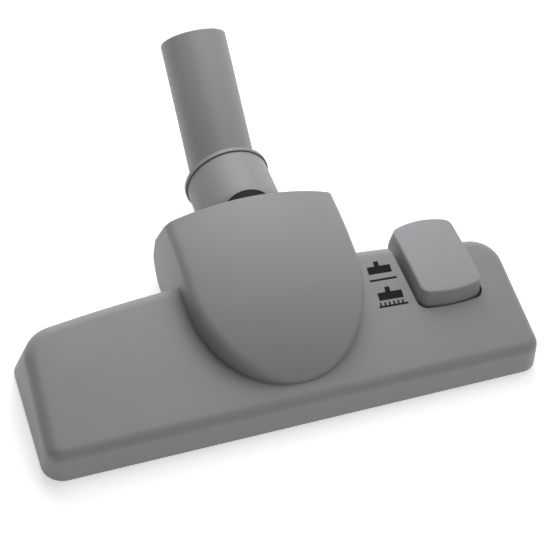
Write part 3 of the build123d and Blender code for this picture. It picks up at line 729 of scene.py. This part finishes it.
class FLOORHEAD_OT_symbols(bpy.types.Operator):
    """Prints the two function symbols on the housing beside the pedal"""

    bl_idname = "floorhead.symbols"
    bl_label = "Function symbols"

    def execute(self, context):
        settings = context.scene.symbol_settings
        ink = plastic("symbol_ink", settings.ink_colour, INK_FINISH)
        housing = nodes["upper_housing"]
        for name, shift, bars in (
            ("hard_floor_symbol", 0.0, self.brush_out(settings.line)),
            ("carpet_symbol", settings.pitch, self.brush_in(settings.line)),
        ):
            shape = bmesh.new()
            for x0, x1, y0, y1 in bars:
                add_block(shape, (x0 * MM, y0 * MM, 0), (x1 * MM, y1 * MM, settings.thickness))
            start = Vector((settings.left, settings.front + shift, 0))
            place = Matrix.Translation(start) @ Matrix.Rotation(settings.turn, 4, "Z")
            bmesh.ops.transform(shape, matrix=place, verts=shape.verts)
            for corner in shape.verts:
                above = Vector((corner.co.x, corner.co.y, cad_high[2]))
                hit, seat, _, _ = housing.ray_cast(above, Vector((0, 0, -1)))
                if not hit:
                    raise RuntimeError(f"{name} doesn't lie on the housing")
                corner.co.z += seat.z - settings.thickness * INK_SUNK
            new_piece(name, shape, ink, "head")
        return {"FINISHED"}

    def brush_out(self, line):
        """Floor line, head, stub and bristles that reach the line."""
        half = line / MM / 2
        found = [(*BRUSH_OUT_LINE, -half, half), BRUSH_OUT_HEAD, BRUSH_OUT_STUB]
        for i in range(BRISTLES):
            x = BRISTLE_START + i * BRISTLE_PITCH
            found.append((x, x + BRISTLE_WIDTH, half - PRINT_OVERLAP, BRISTLE_END))
        return found

    def brush_in(self, line):
        """Floor line, head and stub."""
        half = line / MM / 2
        return [(*BRUSH_IN_LINE, -half, half), BRUSH_IN_HEAD, BRUSH_IN_STUB]


class FLOORHEAD_OT_bristles(bpy.types.Operator):
    """Sets the tufts of fine bristles into their back strips"""

    bl_idname = "floorhead.bristles"
    bl_label = "Bristle rows"

    def execute(self, context):
        settings = context.scene.brush_settings
        nylon = plastic("bristle_nylon", settings.nylon_colour, NYLON_FINISH)
        for name in ("front_bristle_strip", "rear_bristle_strip"):
            low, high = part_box(name)
            shape = bmesh.new()
            root = high.z - settings.back_height
            add_block(shape, (low.x, low.y, root), high)
            long_edges = [e for e in shape.edges if e.calc_length() > (high.x - low.x) / 2]
            bmesh.ops.bevel(
                shape,
                geom=long_edges,
                offset=STRIP_ROUND,
                segments=2,
                affect="EDGES",
                profile=0.5,
                material=-1,
            )
            spacing = settings.tuft_pitch
            count = int((high.x - low.x - spacing) / spacing)
            tufts = [self.tuft(settings, root, low.z, seed) for seed in range(TUFT_KINDS)]
            for i in range(count + 1):
                x = (low.x + high.x) / 2 + (i - count / 2) * spacing
                placed = tufts[i % len(tufts)].copy()
                placed.transform(Matrix.Translation((x, (low.y + high.y) / 2, 0)))
                shape.from_mesh(placed)
                bpy.data.meshes.remove(placed)
            for mesh in tufts:
                bpy.data.meshes.remove(mesh)
            piece = new_piece(name + "_tufts", shape, nylon, "brush", name)
        return {"FINISHED"}

    def tuft(self, settings, root, tip, seed):
        """One tuft at the origin: rings of bristles that open a little towards their tips."""
        rng = random.Random(seed)
        shape = bmesh.new()
        spacing = settings.filament * FILAMENT_SPACING
        places = [Vector((0, 0))]
        for ring in range(1, settings.rings + 1):
            for i in range(6 * ring):
                turn = 2 * math.pi * i / (6 * ring)
                places.append(Vector((math.cos(turn), math.sin(turn))) * (spacing * ring))
        for place in places:
            lean = place * settings.spread / (spacing * settings.rings)
            lean += Vector((rng.uniform(-1, 1), rng.uniform(-1, 1))) * TIP_STRAY
            start = Vector((place.x, place.y, root + ROOT_DEPTH))
            height = tip + rng.uniform(0, TIP_UNEVENNESS)
            end = Vector((place.x + lean.x, place.y + lean.y, height))
            add_fibre(shape, start, end, settings.filament, FILAMENT_SIDES)
        mesh = bpy.data.meshes.new(f"tuft_{seed}")
        shape.to_mesh(mesh)
        shape.free()
        return mesh


class FLOORHEAD_OT_velvet(bpy.types.Operator):
    """Covers the lint strips with their leaning pile"""

    bl_idname = "floorhead.velvet"
    bl_label = "Lint strips"

    def execute(self, context):
        settings = context.scene.velvet_settings
        sheen = {"Sheen_Weight": 0.6, "Sheen_Roughness": 0.4}
        velvet = plastic("velvet_pile", settings.colour, VELVET_FINISH, **sheen)
        for name, way in (("front_lint_strip", 1), ("rear_lint_strip", -1)):
            low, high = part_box(name)
            rng = random.Random(way)
            back = high.z - VELVET_BACKING
            shape = bmesh.new()
            for x0, x1 in ((low.x, -VELVET_GAP / 2), (VELVET_GAP / 2, high.x)):
                add_block(shape, (x0, low.y, back), (x1, high.y, high.z))
                columns = int((x1 - x0) / settings.pitch)
                rows = int((high.y - low.y) / settings.pitch)
                for i in range(columns):
                    for j in range(rows):
                        x = x0 + (i + 0.5 + self.jitter(rng)) * (x1 - x0) / columns
                        y = low.y + (j + 0.5 + self.jitter(rng)) * (high.y - low.y) / rows
                        self.fibre(shape, x, y, back, low.z, way * settings.lean, settings.pitch)
            piece = new_piece(name + "_pile", shape, velvet, "head", name)
        return {"FINISHED"}

    def jitter(self, rng):
        return rng.uniform(-PILE_JITTER, PILE_JITTER)

    def fibre(self, shape, x, y, root, tip, lean, pitch):
        """One tapered fibre of three sides from the backing to its leaning tip."""
        radius = pitch * PILE_RADIUS
        foot = [
            shape.verts.new((x + radius * math.cos(turn), y + radius * math.sin(turn), root))
            for turn in PILE_CORNERS
        ]
        top = shape.verts.new((x, y + lean, tip))
        for a, b in ((0, 1), (1, 2), (2, 0)):
            shape.faces.new((foot[b], foot[a], top))


class FLOORHEAD_OT_studio(bpy.types.Operator):
    """Sets up the white table, the soft lamps and the camera"""

    bl_idname = "floorhead.studio"
    bl_label = "Studio"

    def execute(self, context):
        settings = context.scene.studio_settings
        scene = context.scene
        scene.view_settings.view_transform = "Standard"
        self.room(scene, settings)
        self.table(settings)
        self.lamp("top_lamp", settings.top_power)
        self.lamp("back_lamp", settings.back_power)
        self.lamp("far_lamp", settings.far_power)
        camera = bpy.data.cameras.new("camera")
        camera.lens = settings.lens
        camera.sensor_width = SENSOR_WIDTH
        camera.clip_start = NEAR_CLIP
        holder = bpy.data.objects.new("camera", camera)
        scene.collection.objects.link(holder)
        turn = Euler(settings.camera_turn).to_matrix().to_4x4()
        holder.matrix_world = Matrix.Translation(settings.camera_place) @ turn
        scene.camera = holder
        return {"FINISHED"}

    def room(self, scene, settings):
        """World: even light and more from the right, white to the camera and in gloss."""
        world = bpy.data.worlds.new("room")
        scene.world = world
        world.use_nodes = True
        tree = world.node_tree
        tree.nodes.clear()
        link = tree.links.new
        place = add(tree, "ShaderNodeTexCoord")
        split = add(tree, "ShaderNodeSeparateXYZ")
        link(place.outputs["Generated"], split.inputs[0])
        window = add(tree, "ShaderNodeMath", operation="MULTIPLY")
        window.inputs[1].default_value = settings.window_light
        link(split.outputs["X"], window.inputs[0])
        right = add(tree, "ShaderNodeMath", operation="MAXIMUM")
        right.inputs[1].default_value = 0.0
        link(window.outputs[0], right.inputs[0])
        strength = add(tree, "ShaderNodeMath", operation="ADD")
        strength.inputs[1].default_value = settings.room_light
        link(right.outputs[0], strength.inputs[0])
        light = add(tree, "ShaderNodeBackground")
        light.inputs["Color"].default_value = WHITE
        link(strength.outputs[0], light.inputs["Strength"])
        white = add(tree, "ShaderNodeBackground", Strength=1.0)
        white.inputs["Color"].default_value = WHITE
        mix = add(tree, "ShaderNodeMixShader")
        out = add(tree, "ShaderNodeOutputWorld")
        link(self.seen(tree), mix.inputs[0])
        link(light.outputs[0], mix.inputs[1])
        link(white.outputs[0], mix.inputs[2])
        link(mix.outputs[0], out.inputs[0])

    def seen(self, tree):
        """1 for rays from the camera, in gloss and in transmission."""
        path = add(tree, "ShaderNodeLightPath")
        first = add(tree, "ShaderNodeMath", operation="MAXIMUM")
        tree.links.new(path.outputs["Is Camera Ray"], first.inputs[0])
        tree.links.new(path.outputs["Is Glossy Ray"], first.inputs[1])
        second = add(tree, "ShaderNodeMath", operation="MAXIMUM")
        tree.links.new(first.outputs[0], second.inputs[0])
        tree.links.new(path.outputs["Is Transmission Ray"], second.inputs[1])
        return second.outputs[0]

    def table(self, settings):
        """Backlit white table top that keeps the object's soft shadow."""
        shape = bmesh.new()
        bmesh.ops.create_grid(shape, x_segments=1, y_segments=1, size=TABLE_SIZE)
        mesh = bpy.data.meshes.new("table_top")
        shape.to_mesh(mesh)
        shape.free()
        table = bpy.data.objects.new("table_top", mesh)
        bpy.context.scene.collection.objects.link(table)
        white = bpy.data.materials.new("table_white")
        white.use_nodes = True
        tree = white.node_tree
        principled = tree.nodes["Principled BSDF"]
        principled.inputs["Base Color"].default_value = (*settings.floor_colour, 1)
        principled.inputs["Roughness"].default_value = 0.8
        principled.inputs["Specular IOR Level"].default_value = 0.1
        principled.inputs["Emission Color"].default_value = WHITE
        principled.inputs["Emission Strength"].default_value = settings.table_glow
        # From below the table is clear, so that the sole can be looked at.
        side = add(tree, "ShaderNodeNewGeometry")
        upper = add(tree, "ShaderNodeMath", operation="SUBTRACT")
        upper.inputs[0].default_value = 1.0
        tree.links.new(side.outputs["Backfacing"], upper.inputs[1])
        tree.links.new(upper.outputs[0], principled.inputs["Alpha"])
        mesh.materials.append(white)

    def lamp(self, name, power):
        """Square soft lamp that looks at the head."""
        place, size = LAMPS[name]
        light = bpy.data.lights.new(name, "AREA")
        light.size = size
        light.energy = power
        holder = bpy.data.objects.new(name, light)
        bpy.context.scene.collection.objects.link(holder)
        way = Vector(LAMP_AIM) - Vector(place)
        turn = way.to_track_quat("-Z", "Y").to_matrix().to_4x4()
        holder.matrix_world = Matrix.Translation(place) @ turn


class FLOORHEAD_PT_panel(bpy.types.Panel):
    bl_idname = "FLOORHEAD_PT_panel"
    bl_label = "Floor head"
    bl_space_type = "VIEW_3D"
    bl_region_type = "UI"
    bl_category = "Floor head"

    def draw(self, context):
        for operator in OPERATORS:
            self.layout.operator(operator.bl_idname)


SETTINGS = {
    "plastic_settings": PlasticSettings,
    "rubber_settings": RubberSettings,
    "metal_settings": MetalSettings,
    "symbol_settings": SymbolSettings,
    "brush_settings": BrushSettings,
    "velvet_settings": VelvetSettings,
    "studio_settings": StudioSettings,
}
OPERATORS = (
    FLOORHEAD_OT_plastics,
    FLOORHEAD_OT_rubbers,
    FLOORHEAD_OT_metals,
    FLOORHEAD_OT_symbols,
    FLOORHEAD_OT_bristles,
    FLOORHEAD_OT_velvet,
    FLOORHEAD_OT_studio,
)


def register():
    for name, group in SETTINGS.items():
        bpy.utils.register_class(group)
        setattr(bpy.types.Scene, name, bpy.props.PointerProperty(type=group))
    for operator in OPERATORS:
        bpy.utils.register_class(operator)
    bpy.utils.register_class(FLOORHEAD_PT_panel)


def unregister():
    bpy.utils.unregister_class(FLOORHEAD_PT_panel)
    for operator in reversed(OPERATORS):
        bpy.utils.unregister_class(operator)
    for name, group in reversed(SETTINGS.items()):
        delattr(bpy.types.Scene, name)
        bpy.utils.unregister_class(group)


def main():
    register()
    bpy.ops.floorhead.plastics()
    bpy.ops.floorhead.rubbers()
    bpy.ops.floorhead.metals()
    bpy.ops.floorhead.symbols()
    bpy.ops.floorhead.bristles()
    bpy.ops.floorhead.velvet()
    bpy.ops.floorhead.studio()


if __name__ == "__main__":
    main()
